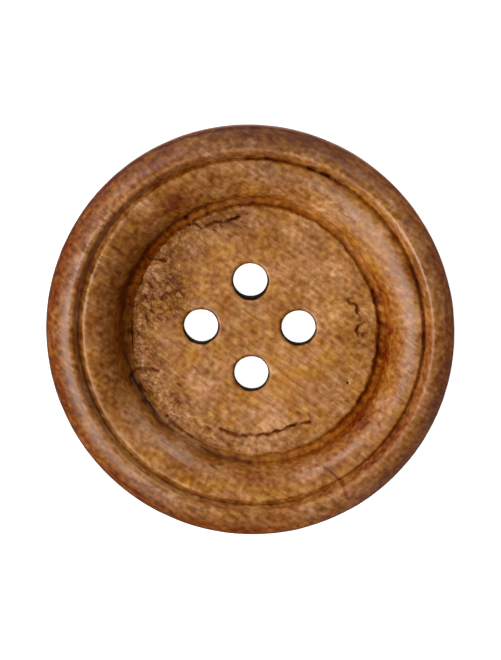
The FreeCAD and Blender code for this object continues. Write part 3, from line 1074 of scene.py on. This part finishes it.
class Nodes:
    """Adds nodes to a material or world; each call returns an output."""

    def __init__(self, owner):
        self.tree = owner.node_tree

    def add(self, kind, inputs, output=0, **settings):
        """Add a node, with its inputs from values or other outputs."""
        node = self.tree.nodes.new(kind)
        for name, value in settings.items():
            setattr(node, name, value)
        for key, value in inputs.items():
            if isinstance(value, bpy.types.NodeSocket):
                self.tree.links.new(value, node.inputs[key])
            else:
                node.inputs[key].default_value = value
        return node.outputs[output]

    def math(self, operation, first, second=0.0):
        """A sum on one or two values."""
        return self.add("ShaderNodeMath", {0: first, 1: second}, operation=operation)

    def times(self, first, second):
        """The product of two values."""
        return self.math("MULTIPLY", first, second)

    def most(self, *parts):
        """The largest of several values."""
        return reduce(lambda first, second: self.math("MAXIMUM", first, second), parts)

    def total(self, *parts):
        """The sum of several values."""
        return reduce(lambda first, second: self.math("ADD", first, second), parts)

    def shares(self, values, shares):
        """The sum of the named values, each times its share."""
        return self.total(*(self.times(values[name], share) for name, share in shares.items()))

    def noise(self, place, cell, detail, gain, shift=0.0):
        """Layered noise, 0 on average; cell is its largest size in mm by axis."""
        turns = [1 / size for size in cell]
        start = [shift * part for part in SHIFT_BY_AXIS]
        scaled = self.add("ShaderNodeMapping", {"Vector": place, "Scale": turns, "Location": start})
        value = self.add("ShaderNodeTexNoise", {"Vector": scaled, "Scale": 1.0,
                                                "Detail": detail, "Roughness": gain})
        return self.math("SUBTRACT", value, 0.5)

    def ramp(self, value, stops):
        """A colour that follows a value through (value, colour) stops."""
        node = self.tree.nodes.new("ShaderNodeValToRGB")
        elements = node.color_ramp.elements
        while len(elements) < len(stops):
            elements.new(0.5)
        for element, (position, colour) in zip(elements, stops):
            element.position = position
            element.color = (*colour, 1)
        self.tree.links.new(value, node.inputs["Fac"])
        return node.outputs["Color"]

    def blend(self, amount, colour, other, kind="MIX"):
        """The colour changed by that amount towards the other."""
        node = self.tree.nodes.new("ShaderNodeMix")
        node.data_type = "RGBA"
        node.blend_type = kind
        amount_in, first_in, second_in, colour_out = 0, 6, 7, 2
        self.tree.links.new(amount, node.inputs[amount_in])
        self.tree.links.new(colour, node.inputs[first_in])
        node.inputs[second_in].default_value = (*other, 1)
        return node.outputs[colour_out]

    def between(self, value, start_end, low_high=(0.0, 1.0)):
        """The value mapped from start..end to low..high."""
        start, end = start_end
        low, high = low_high
        return self.add("ShaderNodeMapRange", {"Value": value, "From Min": start, "From Max": end,
                                               "To Min": low, "To Max": high})

    def mask(self, name):
        """One of the masks worked out for the mesh."""
        return self.add("ShaderNodeAttribute", {}, output="Fac", attribute_name=name)


TONES = ((0.1, (0.202, 0.033, 0.001)), (0.3, (0.322, 0.102, 0.002)), (0.5, (0.446, 0.192, 0.012)),
         (0.7, (0.6, 0.3, 0.078)), (0.9, (0.8, 0.432, 0.172)))
# Painted sheen and blush lie over the wood, so these add to its colour.
BLUSH = (0.0, 0.012, 0.064)
PAINTED_SHEEN_TINT = (0.01, 0.012, 0.035)
# Stain and painted shade deepen and redden the wood under them, so these multiply its colour.
PORE = (0.42, 0.28, 0.06)
RUDDY = (1.0, 0.9, 0.86)
OCHRE = (0.92, 0.77, 0.3)
POOLED_STAIN_AND_SHADE = (0.56, 0.31, 0.02)
EDGE_STAIN_AND_SHADE = (0.62, 0.4, 0.17)
SHADE_AND_SPOT_TINT = (0.5, 0.44, 0.4)
TORN_STAIN = (0.43, 0.33, 0.2)
CRACK_STAIN = (0.62, 0.44, 0.26)
CRACK_BROWN = (0.12, 0.03, 0.003)
# Near black fills the deepest cracks and pits, and is painted shade in the thread holes.
NEAR_BLACK = (0.014, 0.006, 0.002)

# The wood's noises: (along the grain, largest size in mm by axis, detail, gain, shift).
NOISES = {
    "broad": (False, (2.6, 2.6, 2.6), 1.0, 0.85, 0.0),
    "mottle": (False, (0.42, 0.42, 0.42), 1.0, 0.5, 3.1),
    "streaks": (True, (2.8, 0.3, 0.5), 1.0, 0.6, 7.7),
    "fibres": (True, (0.8, 0.22, 0.3), 0.5, 0.5, 23.9),
    "ruddy": (False, (1.1, 1.1, 1.1), 1.0, 0.7, 37.1),
    "blush": (False, (2.0, 2.0, 2.0), 1.0, 0.8, 11.9),
    "specks": (True, (0.55, 0.3, 0.35), 2.0, 0.7, 17.3),
    "wrinkle": (False, (0.47, 0.47, 0.47), 1.0, 0.6, 29.3),
    "blotches": (False, (0.6, 0.6, 0.6), 1.5, 0.65, 41.3),
}
# The hole mask is painted shade in and round the thread holes.
MASKS = ("end_grain", "crack", "torn", "pool", "edge", "grainy", "bloom", "polish", "grime",
         "pale", "hole")

# Shares of each noise or mask in the tone, the pores, the roughness and the bump in mm.
MIDDLE_TONE = 0.53
TONE_SHARES = {"broad": 0.65, "mottle": 0.2, "streaked": 1.0, "end_grain": -0.2, "pale": 0.12}
STREAKS_BY_GRAIN = (0.4, 0.8)
PORE_SHARES = {"mottle": 1.0, "fibres": 0.5}
PORES_BY_GRAIN = (1.0, 0.4)
MIDDLE_ROUGHNESS = 0.37
ROUGH_SHARES = {"mottle": 0.3, "polish": -0.14, "pool": 0.45, "edge": 0.45, "torn": 0.4, "dark": 0.5}
BUMP_SHARES = {"mottle": 0.014, "fibres": 0.006, "streaks": 0.018, "torn": -0.02, "cracked": -0.03}
BLOTCH_SHARE = 1.8
BROWN_SHARE = 0.9

# The spans of noise, tone or mask over which each change comes in.
ROSY_NOISE = (-0.14, 0.13)
ROSY_TONES = (0.32, 0.55)
RUDDY_NOISE = (-0.1, 0.16)
PORE_NOISE = (0.36, -0.36)
OCHRE_POOL = (0.0, 0.5)
POOLED_DEPTHS = (0.4, 1.25)
POOLED_EDGE = (0.05, 0.4)
PATCHY_NOISE = (-0.3, 0.3)
PATCHY_STAIN = (1.15, 0.85)
WRINKLE_NOISE = (0.0, 0.08)
WRINKLE_STAIN = (0.95, 0.0)
FLECK_NOISE = (-0.06, 0.14)
SPLIT_STAIN = (0.0, 0.55)
SPLIT_REACH = (0.0, 0.25)
SPLIT_BROWN = (0.5, 0.95)
SPLIT_BLACK = (0.9, 1.15)
DULL_SHINE = (0.35, 0.03)
POLISH_SPAN = (0.0, 1.5)
POLISH_SHINE = (0.0, 0.3)
WHOLE = (0.0, 1.0)


def wood_values(nodes):
    """The noises and masks behind the wood's look, by name."""
    coordinates = nodes.add("ShaderNodeTexCoord", {}, output="Object")
    in_mm = nodes.add("ShaderNodeVectorMath", {0: coordinates, 1: (1 / MM,) * 3}, operation="MULTIPLY")
    grain = nodes.add("ShaderNodeMapping", {
        "Vector": in_mm, "Rotation": (0, 0, -radians(GRAIN_BEARING))})
    values = {name: nodes.noise(grain if in_grain else in_mm, *settings)
              for name, (in_grain, *settings) in NOISES.items()}
    values.update((name, nodes.mask(name)) for name in MASKS)
    return values


def bare_wood(nodes, values):
    """The colour of the wood with its grain, pores, blush and painted sheen."""
    grainy = values["grainy"]
    values["streaked"] = nodes.times(values["streaks"], nodes.between(grainy, WHOLE, STREAKS_BY_GRAIN))
    tone = nodes.total(nodes.shares(values, TONE_SHARES), MIDDLE_TONE)
    colour = nodes.ramp(tone, TONES)
    rosy = nodes.times(nodes.between(values["blush"], ROSY_NOISE), nodes.between(tone, ROSY_TONES))
    colour = nodes.blend(rosy, colour, BLUSH, "ADD")
    # Painted sheen, added as a pale haze.
    colour = nodes.blend(values["bloom"], colour, PAINTED_SHEEN_TINT, "ADD")
    colour = nodes.blend(nodes.between(values["ruddy"], RUDDY_NOISE), colour, RUDDY, "MULTIPLY")
    pores = nodes.between(nodes.shares(values, PORE_SHARES), PORE_NOISE)
    pores = nodes.times(pores, nodes.between(grainy, WHOLE, PORES_BY_GRAIN))
    return nodes.blend(pores, colour, PORE, "MULTIPLY")


def stain_and_shade(nodes, values, colour):
    """The colour with stain and painted shade in the hollows and on the edge, painted shade on the rim
    and roll, and darker spots.
    """
    # Stain and painted shade in the groove, the quirk and the roll's foot: deeper, redder, blotchy.
    pool = values["pool"]
    colour = nodes.blend(nodes.between(pool, OCHRE_POOL), colour, OCHRE, "MULTIPLY")
    blotchy = nodes.total(pool, nodes.times(values["blotches"], BLOTCH_SHARE))
    deep = nodes.times(nodes.between(blotchy, POOLED_DEPTHS), nodes.between(pool, POOLED_EDGE))
    colour = nodes.blend(deep, colour, POOLED_STAIN_AND_SHADE, "MULTIPLY")
    patchy = nodes.total(values["mottle"], values["streaks"])
    patchy = nodes.between(patchy, PATCHY_NOISE, PATCHY_STAIN)
    # Stain and painted shade on the outer edge; painted shade on the rim, the roll and the outline, with
    # darker spots.
    for name, stain in (("edge", EDGE_STAIN_AND_SHADE), ("grime", SHADE_AND_SPOT_TINT)):
        amount = nodes.math("MINIMUM", nodes.times(values[name], patchy), 1.0)
        colour = nodes.blend(amount, colour, stain, "MULTIPLY")
    return colour


def damaged(nodes, values, colour):
    """The colour with torn grain, cracks, and painted shade in the thread holes."""
    wrinkled = nodes.between(nodes.math("ABSOLUTE", values["wrinkle"]), WRINKLE_NOISE, WRINKLE_STAIN)
    flecked = nodes.between(values["specks"], FLECK_NOISE)
    torn = nodes.times(values["torn"], nodes.most(wrinkled, flecked))
    colour = nodes.blend(torn, colour, TORN_STAIN, "MULTIPLY")
    split = nodes.total(values["crack"], values["specks"])
    near_split = nodes.times(nodes.between(split, SPLIT_STAIN),
                             nodes.between(values["crack"], SPLIT_REACH))
    colour = nodes.blend(near_split, colour, CRACK_STAIN, "MULTIPLY")
    cracked = nodes.times(nodes.between(split, SPLIT_BROWN), near_split)
    colour = nodes.blend(nodes.times(cracked, BROWN_SHARE), colour, CRACK_BROWN)
    # Near black in the deepest cracks, and painted shade in the thread holes.
    black = nodes.most(nodes.between(values["crack"], SPLIT_BLACK), values["hole"])
    values.update(torn=torn, cracked=cracked, dark=nodes.most(cracked, black))
    return nodes.blend(black, colour, NEAR_BLACK)


def shine(nodes, values):
    """How strongly the wood mirrors: less where stain or painted shade lies, where dark, or torn."""
    dull = nodes.most(*(values[name] for name in ("pool", "edge", "dark", "torn")))
    return nodes.total(nodes.between(dull, WHOLE, DULL_SHINE),
                       nodes.between(values["polish"], POLISH_SPAN, POLISH_SHINE))


def wood_material():
    """Stained, waxed, worn wood, with painted sheen and painted shade."""
    material = bpy.data.materials.new("stained_wood")
    material.use_nodes = True
    nodes = Nodes(material)
    values = wood_values(nodes)
    colour = damaged(nodes, values, stain_and_shade(nodes, values, bare_wood(nodes, values)))
    rough = nodes.total(nodes.shares(values, ROUGH_SHARES), MIDDLE_ROUGHNESS)
    bump = nodes.add("ShaderNodeBump", {"Height": nodes.shares(values, BUMP_SHARES),
                                        "Distance": MM, "Strength": 1.0}, output="Normal")
    shader = material.node_tree.nodes["Principled BSDF"]
    for name, value in (("Base Color", colour), ("Roughness", nodes.between(rough, WHOLE, WHOLE)),
                        ("Specular IOR Level", shine(nodes, values)), ("Normal", bump)):
        material.node_tree.links.new(value, shader.inputs[name])
    return material


mesh = make_mesh(button_surface())
mesh.materials.append(wood_material())
button = show("button_wood", mesh)

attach(button, "root")
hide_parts(NODE)

add_floor()
add_world()
for lamp in LAMPS:
    add_lamp(*lamp)
add_camera()
bpy.context.scene.view_settings.view_transform = "Standard"
